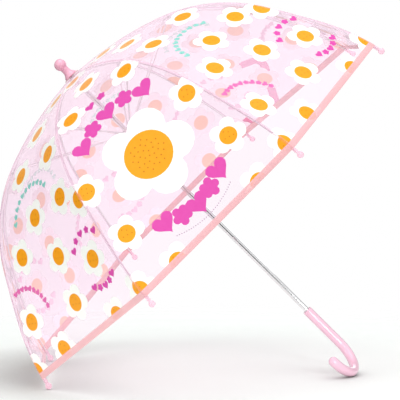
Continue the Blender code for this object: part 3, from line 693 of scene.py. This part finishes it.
# Material slots of a gore: its outer face, then the same shapes on its inner face
FILM_SLOTS = [
    "film", "white", "orange", "seed", "magenta", "pink", "mint", "grey",
    "film", "white_back", "orange_back", "orange_back", "pink_back", "pink_back", "mint_back", "pink_back",
]  # fmt: skip
FIRST_BACK = 8


def flat_boundary(start, end):
    """Edge of a stretch of gore from one v to another, in millimetres, anticlockwise."""
    rows = max(int((end - start) / MM / MESH_STEP), 2)
    down = [start + (end - start) * row / rows for row in range(rows + 1)]
    left = [Vector((v, -half_width(v))) / MM for v in down]
    right = [Vector((v, half_width(v))) / MM for v in reversed(down)]
    loop = []
    for side, other in ((left, right), (right, left)):
        loop += side
        span = other[0] - side[-1]
        columns = max(int(span.length / MESH_STEP), 1)
        loop += [side[-1] + span * column / columns for column in range(1, columns)]
    return loop


def flat_grid(start, end):
    """Points inside a stretch of gore, so that its mesh bends evenly."""
    points = []
    rows = max(int((end - start) / MM / MESH_STEP), 2)
    for row in range(1, rows):
        v = start + (end - start) * row / rows
        half = half_width(v) / MM
        columns = max(int(2 * half / MESH_STEP), 1)
        shift = 0.5 if row % 2 else 0.0
        for column in range(columns):
            lat = -half + 2 * half * (column + 0.25 + shift / 2) / columns
            points.append(Vector((v / MM, lat)))
    return points


def film_piece(name, gore, start, end, body, shapes):
    """A stretch of one gore: both faces of the film and its rim, with the print let into it."""
    loops = [flat_boundary(start, end)]
    inks = ["film"]
    low, high = start / MM, end / MM
    for ink, outline in shapes:
        if max(point.x for point in outline) > low and min(point.x for point in outline) < high:
            loops.append(outline)
            inks.append(ink)
    points = [point for loop in loops for point in loop]
    numbers, first = [], 0
    for loop in loops:
        numbers.append(list(range(first, first + len(loop))))
        first += len(loop)
    points += flat_grid(start, end)
    weld = 0.02  # millimetres
    flat, _, triangles, _, _, owners = delaunay_2d_cdt(points, [], numbers, 0, weld, True)
    count = len(flat)
    kept = [(triangle, owner) for triangle, owner in zip(triangles, owners) if 0 in owner]
    faces, slots = [], []
    edges = {}
    for triangle, owner in kept:
        slot = FILM_SLOTS.index(inks[max(owner)])
        faces.append(tuple(triangle))
        slots.append(slot)
        faces.append(tuple(number + count for number in reversed(triangle)))
        slots.append(slot + FIRST_BACK)
        for a, b in zip(triangle, triangle[1:] + triangle[:1]):
            edges[(a, b)] = True
    for a, b in edges:
        if (b, a) not in edges:
            faces.append((b, a, a + count, b + count))
            slots.append(0)
    turn = UMBRELLA @ gore_turn(gore)
    places = [(point.x * MM, point.y * MM) for point in flat]
    vertices = [turn @ on_gore(v, lat) for v, lat in places]
    vertices += [turn @ on_gore(v, lat, -FILM_THICKNESS) for v, lat in places]
    normals = [turn.to_3x3() @ gore_normal(v, lat) for v, lat in places]
    piece = mesh_piece(name, vertices, faces)
    for material in FILM_SLOTS:
        piece.data.materials.append(MATERIALS[material])
    piece.data.polygons.foreach_set("material_index", slots)
    piece.data.shade_smooth()
    corner_normals = []
    for polygon in piece.data.polygons:
        for vertex in polygon.vertices:
            if len(polygon.vertices) > 3:
                corner_normals.append(polygon.normal.copy())
            else:
                corner_normals.append(normals[vertex] if vertex < count else -normals[vertex - count])
    piece.data.normals_split_custom_set(corner_normals)
    remove_unused_points(piece)
    finish_piece(piece, body, replaces=[body], sharp=0)
    flatten_with_gore(piece)
    return piece


def remove_unused_points(piece):
    """Delete points that no face uses."""
    work = bmesh.new()
    work.from_mesh(piece.data)
    loose = [vertex for vertex in work.verts if not vertex.link_faces]
    bmesh.ops.delete(work, geom=loose, context="VERTS")
    work.to_mesh(piece.data)
    work.free()


def make_film():
    crown = FILM_HOLE_RADIUS / math.cos(HALF_STEP)
    for gore in range(RIB_COUNT):
        shapes = gore_print(gore)
        film_piece(f"film_upper_{gore}", gore, crown, SHOULDER_V, f"upper_panel_{gore}", shapes)
        film_piece(f"film_lower_{gore}", gore, SHOULDER_V, HEM, f"lower_panel_{gore}", shapes)


# Hem tape, its stitches and the welded seams


def make_stitch_tree():
    """Geometry Nodes: short rounded stitches along the edges of a guide mesh."""
    tree = bpy.data.node_groups.new("stitch_row", "GeometryNodeTree")
    face = tree.interface
    face.new_socket("Guide", in_out="INPUT", socket_type="NodeSocketGeometry")
    for name in ("Pitch", "Length", "Thickness"):
        face.new_socket(name, in_out="INPUT", socket_type="NodeSocketFloat")
    face.new_socket("Thread", in_out="INPUT", socket_type="NodeSocketMaterial")
    face.new_socket("Stitches", in_out="OUTPUT", socket_type="NodeSocketGeometry")
    given = add_node(tree, "NodeGroupInput").outputs
    line = add_node(tree, "GeometryNodeMeshToCurve", inputs={"Mesh": given["Guide"]})
    spacing = {"Curve": line.outputs[0], "Length": given["Pitch"]}
    even = add_node(tree, "GeometryNodeResampleCurve", {"mode": "LENGTH"}, spacing)
    tangent = add_node(tree, "GeometryNodeInputTangent")
    turn = add_node(tree, "FunctionNodeAlignRotationToVector", {"axis": "Z"}, {"Vector": tangent.outputs[0]})
    thick = calculated(tree, "DIVIDE", given["Thickness"], given["Length"])
    shape = add_node(tree, "ShaderNodeCombineXYZ", inputs={"X": thick, "Y": thick, "Z": 1.0})
    size = {"Segments": 6, "Rings": 5, "Radius": given["Length"]}
    bead = add_node(tree, "GeometryNodeMeshUVSphere", inputs=size)
    stitches = add_node(
        tree,
        "GeometryNodeInstanceOnPoints",
        inputs={
            "Points": even.outputs[0],
            "Instance": bead.outputs[0],
            "Rotation": turn.outputs[0],
            "Scale": shape.outputs[0],
        },
    )
    real = add_node(tree, "GeometryNodeRealizeInstances", inputs={0: stitches.outputs[0]})
    paint = {"Geometry": real.outputs[0], "Material": given["Thread"]}
    painted = add_node(tree, "GeometryNodeSetMaterial", inputs=paint)
    add_node(tree, "NodeGroupOutput", inputs={"Stitches": painted.outputs[0]})
    return tree


def stitch_row(name, tree, line):
    """Stitches along a line of points, as a plain mesh."""
    edges = [(index, index + 1) for index in range(len(line) - 1)]
    mesh = bpy.data.meshes.new(name)
    mesh.from_pydata(line, edges, [])
    piece = link(bpy.data.objects.new(name, mesh))
    rows = piece.modifiers.new("stitches", "NODES")
    rows.node_group = tree
    values = {"Pitch": STITCH_PITCH, "Length": STITCH_LENGTH / 2, "Thickness": STITCH_THICKNESS / 2}
    values["Thread"] = MATERIALS["thread"]
    for socket in tree.interface.items_tree:
        if socket.name in values:
            rows[socket.identifier] = values[socket.name]
    apply_modifiers(piece)
    return piece


def make_hem(tree):
    """A tape folded over the hem of each gore, sewn through both its legs."""
    outer, inner = TAPE_THICKNESS, -FILM_THICKNESS - TAPE_THICKNESS
    gap = 0.02 * MM
    section = [
        (HEM - TAPE_WIDTH, gap),
        (HEM - TAPE_WIDTH, outer),
        (HEM + 0.2 * MM, outer),
        (HEM + 0.6 * MM, (outer + inner) / 2 + 0.2 * MM),
        (HEM + 0.6 * MM, (outer + inner) / 2 - 0.2 * MM),
        (HEM + 0.2 * MM, inner),
        (HEM - TAPE_WIDTH, inner),
        (HEM - TAPE_WIDTH, -FILM_THICKNESS - gap),
        (HEM + 0.1 * MM, -FILM_THICKNESS - gap),
        (HEM + 0.1 * MM, gap),
    ]
    stations = 44
    for gore in range(RIB_COUNT):
        turn = UMBRELLA @ gore_turn(gore)
        rings = []
        for station in range(stations + 1):
            share = 2 * station / stations - 1
            rings.append([turn @ on_gore(v, share * half_width(v), lift) for v, lift in section])
        trim_piece(loft(f"hem_tape_{gore}", rings), gore, ["tape"])
        v = HEM - TAPE_WIDTH + 1.6 * MM
        for side, lift in (("outer", outer), ("inner", inner)):
            line = [
                turn @ on_gore(v, (2 * index / stations - 1) * (half_width(v) - 2 * MM), lift)
                for index in range(stations + 1)
            ]
            trim_piece(stitch_row(f"hem_stitches_{side}_{gore}", tree, line), gore)


def seam_ring(rib, v):
    """Section of the welded seam over a rib: two film edges lapped, with a raised middle."""
    rise, sit, top = SEAM_THICKNESS, 0.02 * MM, SEAM_THICKNESS + 0.2 * MM
    half, reach = half_width(v), min(SEAM_WIDTH / 2, half_width(v) * 0.9)
    before, after = gore_turn(rib - 1), gore_turn(rib)
    left = [before @ on_gore(v, half - reach, lift) for lift in (sit, rise)]
    right = [after @ on_gore(v, reach - half, lift) for lift in (rise, sit)]
    ridge = (before @ on_gore(v, half, top) + after @ on_gore(v, -half, top)) / 2
    floor = (before @ on_gore(v, half, sit) + after @ on_gore(v, -half, sit)) / 2
    return [UMBRELLA @ point for point in left + [ridge] + right + [floor]]


def make_seams():
    for rib in range(RIB_COUNT):
        for part, start, end in (("upper", SEAM_START, SHOULDER_V), ("lower", SHOULDER_V, HEM)):
            steps = 28
            rings = [seam_ring(rib, start + (end - start) * step / steps) for step in range(steps + 1)]
            body = f"{part}_rib_{rib}"
            finish_piece(loft(f"seam_{part}_{rib}", rings), body, ["seam"])


# Ribs, rivets and tips


def make_ribs():
    for rib in range(RIB_COUNT):
        for part in ("upper_rib", "lower_rib", "stretcher"):
            refined(f"{part}_{rib}", f"{part}_{rib}", "rib", 0.25 * MM)
        make_rivet(rib)
        make_tip(rib)


def make_rivet(rib):
    """A rivet through the eyes of the two ribs and the stretcher, with a domed head at each end."""
    hinge = JOINTS[f"lower_rib_{rib}_hinge"]
    axis = Vector(hinge["axis"]).normalized()
    turn = axis.to_track_quat("Z", "Y").to_matrix().to_4x4()
    matrix = Matrix.Translation(Vector(hinge["pos_m"])) @ turn
    end, shank, head, rise = 2.75 * MM, 0.7 * MM, 1.5 * MM, 0.7 * MM
    dome = [(head * math.cos(t), end + rise * math.sin(t)) for t in (math.pi / 2 * k / 5 for k in range(6))]
    low_dome = [(radius, -height) for radius, height in reversed(dome[:-1])]
    profile = [(0, -end - rise)] + low_dome + [(shank, -end), (shank, end)] + dome
    rivet = lathe(f"joint_rivet_{rib}", profile, matrix, 18)
    finish_piece(rivet, f"upper_rib_{rib}", ["rivet"])


def ball_profile(radius, height, neck, steps):
    """Profile of a ball on the axis, from its top down to where it meets a neck."""
    last = math.pi - math.asin(neck / radius)
    turns = [last * index / steps for index in range(steps + 1)]
    return [(radius * math.sin(t), height + radius * math.cos(t)) for t in turns]


def rib_end():
    """(place, direction) of a rib's end in the plane of the rib, under the hem corner."""
    (_, r0, z0), (_, r1, z1) = PROFILE[-2], PROFILE[-1]
    along = Vector((r1 - r0, z1 - z0)).normalized()
    return Vector((r1, z1)) + RIB_DEPTH * Vector((along.y, -along.x)), along


def make_tip(rib):
    """A ball-ended cap on the rib's end: the film's corner is sewn to the collar on its neck."""
    place, along = rib_end()
    matrix = UMBRELLA @ rib_turn(rib) @ Matrix.Translation((place.x, 0, place.y))
    matrix = matrix @ Matrix.Rotation(math.pi / 2 + math.atan2(-along.y, along.x), 4, "Y")
    waist, collar = TIP_NECK_RADIUS * 0.82, TIP_NECK_RADIUS * 1.12
    ball = ball_profile(TIP_BALL_RADIUS, TIP_REACH, waist, 18)
    sleeve = rounded(
        [
            ball[-1],
            (waist, 6.4 * MM),
            (collar, 6.0 * MM),
            (collar, 4.9 * MM),
            (TIP_NECK_RADIUS * 0.92, 4.5 * MM),
            (TIP_NECK_RADIUS, 0.0),
            (TIP_NECK_RADIUS, -0.2 * MM),
            (0, -0.2 * MM),
        ],
        0.3 * MM,
        3,
    )
    profile = ball[:-1] + sleeve
    tip = lathe(f"rib_tip_{rib}_finished", profile, matrix, 32)
    finish_piece(tip, f"lower_rib_{rib}", ["tip"], [f"rib_tip_{rib}"])


# Ferrule, shaft, handle and runner


def make_ferrule():
    ball = ball_profile(FERRULE_BALL_RADIUS, FERRULE_BALL_HEIGHT, FERRULE_NECK_RADIUS, 26)
    foot = 1.6 * MM
    bore, bore_top = SHAFT_RADIUS + 0.3 * MM, FERRULE_BALL_HEIGHT - 5.8 * MM
    skirt = rounded(
        [
            ball[-1],
            (FERRULE_NECK_RADIUS, foot + 9.5 * MM),
            (FERRULE_NECK_RADIUS + 0.8 * MM, foot + 6.5 * MM),
            (FERRULE_SKIRT_RADIUS - 1.6 * MM, foot + 3.4 * MM),
            (FERRULE_SKIRT_RADIUS, foot + 1.6 * MM),
            (FERRULE_SKIRT_RADIUS, foot),
            (bore, foot),
            (bore, bore_top),
            (0, bore_top),
        ],
        1.2 * MM,
        6,
    )
    profile = ball[:-1] + skirt
    ferrule = lathe("ferrule_finished", profile, UMBRELLA, 48)
    finish_piece(ferrule, "root", ["ferrule"], ["ferrule"])


def hook_line():
    """Centre line of the handle's hook with its directions: half a turn on from the straight part."""
    aside = Vector((math.cos(HOOK_TURN), math.sin(HOOK_TURN), 0))
    bend = -HANDLE_TOP_DEPTH - HANDLE_STRAIGHT
    line = []
    steps = 56
    for index in range(steps + 1):
        turn = math.pi * index / steps
        down = Vector((0, 0, bend - HOOK_RADIUS * math.sin(turn)))
        place = HOOK_RADIUS * (1 - math.cos(turn)) * aside + down
        along = math.sin(turn) * aside - math.cos(turn) * Vector((0, 0, 1))
        line.append((place, along))
    return line


def make_handle():
    """The J handle: a recessed mouth round the shaft, a straight grip, a half-turn hook and a round end."""
    across = Vector((-math.sin(HOOK_TURN), math.cos(HOOK_TURN), 0))
    down = Vector((0, 0, -1))

    def ring(place, along, radius, sides=40):
        other = along.cross(across)
        turns = [2 * math.pi * index / sides for index in range(sides)]
        return [UMBRELLA @ (place + radius * (math.cos(t) * across + math.sin(t) * other)) for t in turns]

    top = -HANDLE_TOP_DEPTH
    bore, lead = SHAFT_RADIUS + 0.3 * MM, 4 * MM
    edge = rounded(
        [
            (bore, -HANDLE_BORE_DEPTH),
            (bore, -HANDLE_MOUTH_DEPTH),
            (HANDLE_MOUTH_RADIUS, -HANDLE_MOUTH_DEPTH),
            (HANDLE_MOUTH_RADIUS, 0),
            (HANDLE_RADIUS, 0),
            (HANDLE_RADIUS, -lead),
        ],
        0.7 * MM,
        5,
    )
    rings = [ring(Vector((0, 0, top + height)), down, radius) for radius, height in edge]
    straight = 10
    for index in range(1, straight):
        depth = lead + (HANDLE_STRAIGHT - lead) * index / straight
        rings.append(ring(Vector((0, 0, top - depth)), down, HANDLE_RADIUS))
    line = hook_line()
    rings += [ring(place, along, HANDLE_RADIUS) for place, along in line]
    end, along = line[-1]
    steps = 10
    for index in range(1, steps + 1):
        turn = math.pi / 2 * index / steps
        place = end + HANDLE_RADIUS * math.sin(turn) * along
        rings.append(ring(place, along, HANDLE_RADIUS * math.cos(turn)))
    handle = loft("handle_finished", rings)
    for vertex in handle.data.vertices:
        vertex.co.z = max(vertex.co.z, 0.0)  # the flat land that stands on the floor
    finish_piece(handle, "root", ["handle"], ["handle"])


def make_root():
    make_ferrule()
    make_handle()
    refined("shaft", "root", "shaft", 0, 30)
    refined("crown_washer", "root", "crown_patch", 0.2 * MM)
    refined("top_notch", "root", "nylon", 0.2 * MM)
    refined("notch_wire", "root", "spring_steel", 0, 60)
    refined("stop_pin", "root", "spring_steel", 0.15 * MM)
    refined("runner", "runner", "nylon", 0.3 * MM)
    refined("top_catch", "top_catch", "spring_steel", 0.15 * MM)
    refined("bottom_catch", "bottom_catch", "spring_steel", 0.15 * MM)


# Closing strap


def smooth_line(points, steps):
    """A smooth line through points in the plane, with some steps from each to the next."""
    line = []
    padded = [2 * points[0] - points[1]] + points + [2 * points[-1] - points[-2]]
    for a, b, c, d in zip(padded, padded[1:], padded[2:], padded[3:]):
        for step in range(steps):
            t = step / steps
            square, cube = 2 * a - 5 * b + 4 * c - d, 3 * b - a - 3 * c + d
            line.append(0.5 * ((2 * b) + (c - a) * t + square * t**2 + cube * t**3))
    line.append(points[-1])
    return line


def make_strap():
    """The closing strap on the outside of one gore, and its press stud on a patch at the hem."""
    turn = UMBRELLA @ gore_turn(STRAP_GORE)
    route = []
    for share, across in STRAP_ROUTE:
        v = v_at_share(share)
        route.append(Vector((v, across * half_width(v))))
    line = smooth_line(route, 8)
    section = ((-1, 0.1), (-1, 0.9), (-0.9, 1), (0.9, 1), (1, 0.9), (1, 0.1), (0.9, 0), (-0.9, 0))
    rings = []
    for index, place in enumerate(line):
        way = (line[min(index + 1, len(line) - 1)] - line[max(index - 1, 0)]).normalized()
        side = Vector((-way.y, way.x))
        share = index / (len(line) - 1)
        lift = 0.6 * MM + 0.9 * MM * math.sin(math.pi * min(share * 3, 1) / 2)
        ring = []
        for reach, height in section:
            point = place + reach * STRAP_WIDTH / 2 * side
            ring.append(turn @ on_gore(point.x, point.y, lift + height * STRAP_THICKNESS))
        rings.append(ring)
    trim_piece(loft("closing_strap_finished", rings), STRAP_GORE, ["strap"], ["closing_strap"])
    v = v_at_share(STUD_PLACE[0])
    lat = STUD_PLACE[1] * half_width(v)
    half, down = 6 * MM, 10 * MM  # the patch reaches further towards the hem
    rings = []
    for height, inset in ((0.4, 0.4), (0.55, 0), (0.95, 0), (1.1, 0.4)):
        side, low = half - inset * MM, down - inset * MM
        corners = [(-side, -side), (low, -side), (low, side), (-side, side)]
        rings.append([turn @ on_gore(v + a, lat + b, height * MM) for a, b in corners])
    trim_piece(loft("strap_patch", rings), STRAP_GORE, ["strap_patch"])
    normal = gore_normal(v, lat)
    seat = Matrix.Translation(on_gore(v, lat, 1.1 * MM)) @ normal.to_track_quat("Z", "Y").to_matrix().to_4x4()
    cap = ((0, 1.5), (2.2, 1.5), (2.4, 0.8), (4.2, 0.6), (4.4, 0), (0, 0))  # millimetres
    profile = rounded([(radius * MM, height * MM) for radius, height in cap], 0.3 * MM)
    trim_piece(lathe("strap_stud_finished", profile, turn @ seat, 32), STRAP_GORE, ["tip"], ["strap_stud"])


# Camera, floor and light


def look_from(obj, place, target):
    turn = (target - place).to_track_quat("-Z", "Y").to_matrix().to_4x4()
    obj.matrix_world = Matrix.Translation(place) @ turn


def make_camera():
    azimuth, elevation, distance = math.radians(-3.87), math.radians(3.58), 2.866
    aim = UMBRELLA.translation + Vector((0.1886, 0, -0.1826))
    level = math.cos(elevation)
    away = Vector((math.sin(azimuth) * level, -math.cos(azimuth) * level, math.sin(elevation)))
    camera = bpy.data.cameras.new("camera")
    camera.lens = 174
    camera.clip_end = 100
    obj = link(bpy.data.objects.new("camera", camera))
    look_from(obj, aim + distance * away, aim)
    bpy.context.scene.camera = obj


def make_floor():
    """A pale floor with painted shadow: its colour darkens near what stands on it, and it fades out into the
    white round it.
    """
    floor_radius, floor_drop = 4.0, 0.0005
    fade_start, fade_end = 0.42, 0.9
    # reach and strength of the painted shadow round what stands on the floor
    painted_shadow_reach, painted_shadow_power = 0.16, 1.6
    work = bmesh.new()
    bmesh.ops.create_circle(work, cap_ends=True, segments=96, radius=floor_radius)
    mesh = bpy.data.meshes.new("floor")
    work.to_mesh(mesh)
    work.free()
    floor = link(bpy.data.objects.new("floor", mesh))
    floor.location = (0, 0, -floor_drop)
    material, tree = new_material("white_studio_floor")
    place = add_node(tree, "ShaderNodeTexCoord")
    out = add_node(tree, "ShaderNodeVectorMath", {"operation": "LENGTH"}, {0: place.outputs["Object"]})
    ends = {"Value": out.outputs["Value"], "From Min": fade_start, "From Max": fade_end}
    fade = add_node(tree, "ShaderNodeMapRange", {"interpolation_type": "SMOOTHSTEP"}, ends)
    near = add_node(tree, "ShaderNodeAmbientOcclusion", {"samples": 8}, {"Distance": painted_shadow_reach})
    painted_shadow_clearance = calculated(tree, "POWER", near.outputs["AO"], painted_shadow_power)
    pale = add_node(
        tree,
        "ShaderNodeBsdfPrincipled",
        inputs={
            # painted shadow: the floor's colour turns grey where ambient occlusion finds something near
            "Base Color": mixed_colour(tree, painted_shadow_clearance, "#A9AEAB", "#F9FEFB"),
            "Roughness": 0.7,
            "Specular IOR Level": 0.1,
        },
    )
    clear = add_node(tree, "ShaderNodeBsdfTransparent")
    shaders = {0: fade.outputs[0], 1: pale.outputs[0], 2: clear.outputs[0]}
    finish_surface(tree, add_node(tree, "ShaderNodeMixShader", inputs=shaders).outputs[0])
    mesh.materials.append(material)


def grey_ramp(tree, value, stops):
    """Greys at stops along a value from 0 to 1."""
    node = add_node(tree, "ShaderNodeValToRGB", inputs={0: value})
    ramp = node.color_ramp.elements
    while len(ramp) < len(stops):
        ramp.new(0.5)
    for stop, (place, grey) in zip(ramp, stops):
        stop.position = place
        stop.color = (grey, grey, grey, 1)
    return node.outputs[0]


def make_light():
    """A white room with grey side walls and dark ground, three soft boxes, a strip light and a small one.

    The small one, glint, stands where the handle's straight part mirrors it to the camera.
    """
    world = bpy.data.worlds.new("studio")
    bpy.context.scene.world = world
    world.use_nodes = True
    tree = world.node_tree
    tree.nodes.clear()
    place = add_node(tree, "ShaderNodeTexCoord")
    split = add_node(tree, "ShaderNodeSeparateXYZ", inputs={0: place.outputs["Generated"]})
    walls = ((0, 0.82), (0.12, 0.82), (0.2, 0.25), (0.7, 0.25), (0.85, 0.85))
    room = grey_ramp(tree, split.outputs["Y"], walls)
    ground = grey_ramp(tree, split.outputs["Z"], ((0, 0.15), (0.03, 1)))
    both = add_node(tree, "ShaderNodeVectorMath", {"operation": "MULTIPLY"}, {0: room, 1: ground})
    path = add_node(tree, "ShaderNodeLightPath")
    seen = add_node(tree, "ShaderNodeBackground", inputs={"Color": (1, 1, 1, 1)})
    cast = add_node(tree, "ShaderNodeBackground", inputs={"Color": both.outputs[0]})
    shaders = {0: path.outputs["Is Camera Ray"], 1: cast.outputs[0], 2: seen.outputs[0]}
    mix = add_node(tree, "ShaderNodeMixShader", inputs=shaders)
    add_node(tree, "ShaderNodeOutputWorld", inputs={"Surface": mix.outputs[0]})
    middle = Vector((0, 0, 0.2))
    boxes = (  # name, place, width across the shaft, length, watts
        ("overhead", Vector((-0.1, -0.5, 2.4)), 1.8, 1.8, 22),
        ("left_front", Vector((-2.1, -1.6, 0.9)), 1.4, 1.4, 15),
        ("back", Vector((0.6, 2.2, 1.2)), 1.6, 1.6, 10),
        ("strip", Vector((0.85, -2.4, 0.75)), 0.4, 1.6, 12),
        ("glint", Vector((1.26, -2.81, 0.15)), 0.6, 0.5, 12),
    )
    up = UMBRELLA.to_3x3() @ Vector((0, 0, 1))
    for name, place, width, length, power in boxes:
        light = bpy.data.lights.new(name, "AREA")
        light.shape = "RECTANGLE"
        light.size, light.size_y, light.energy = width, length, power
        obj = link(bpy.data.objects.new(name, light))
        away = (place - middle).normalized()
        across = up.cross(away).normalized()
        turn = Matrix((across, away.cross(across), away)).transposed().to_4x4()
        obj.matrix_world = Matrix.Translation(place) @ turn
    bpy.context.scene.view_settings.view_transform = "Standard"


def main():
    make_ribs()
    make_film()
    make_hem(make_stitch_tree())
    make_seams()
    make_strap()
    make_root()
    make_camera()
    make_floor()
    make_light()


main()
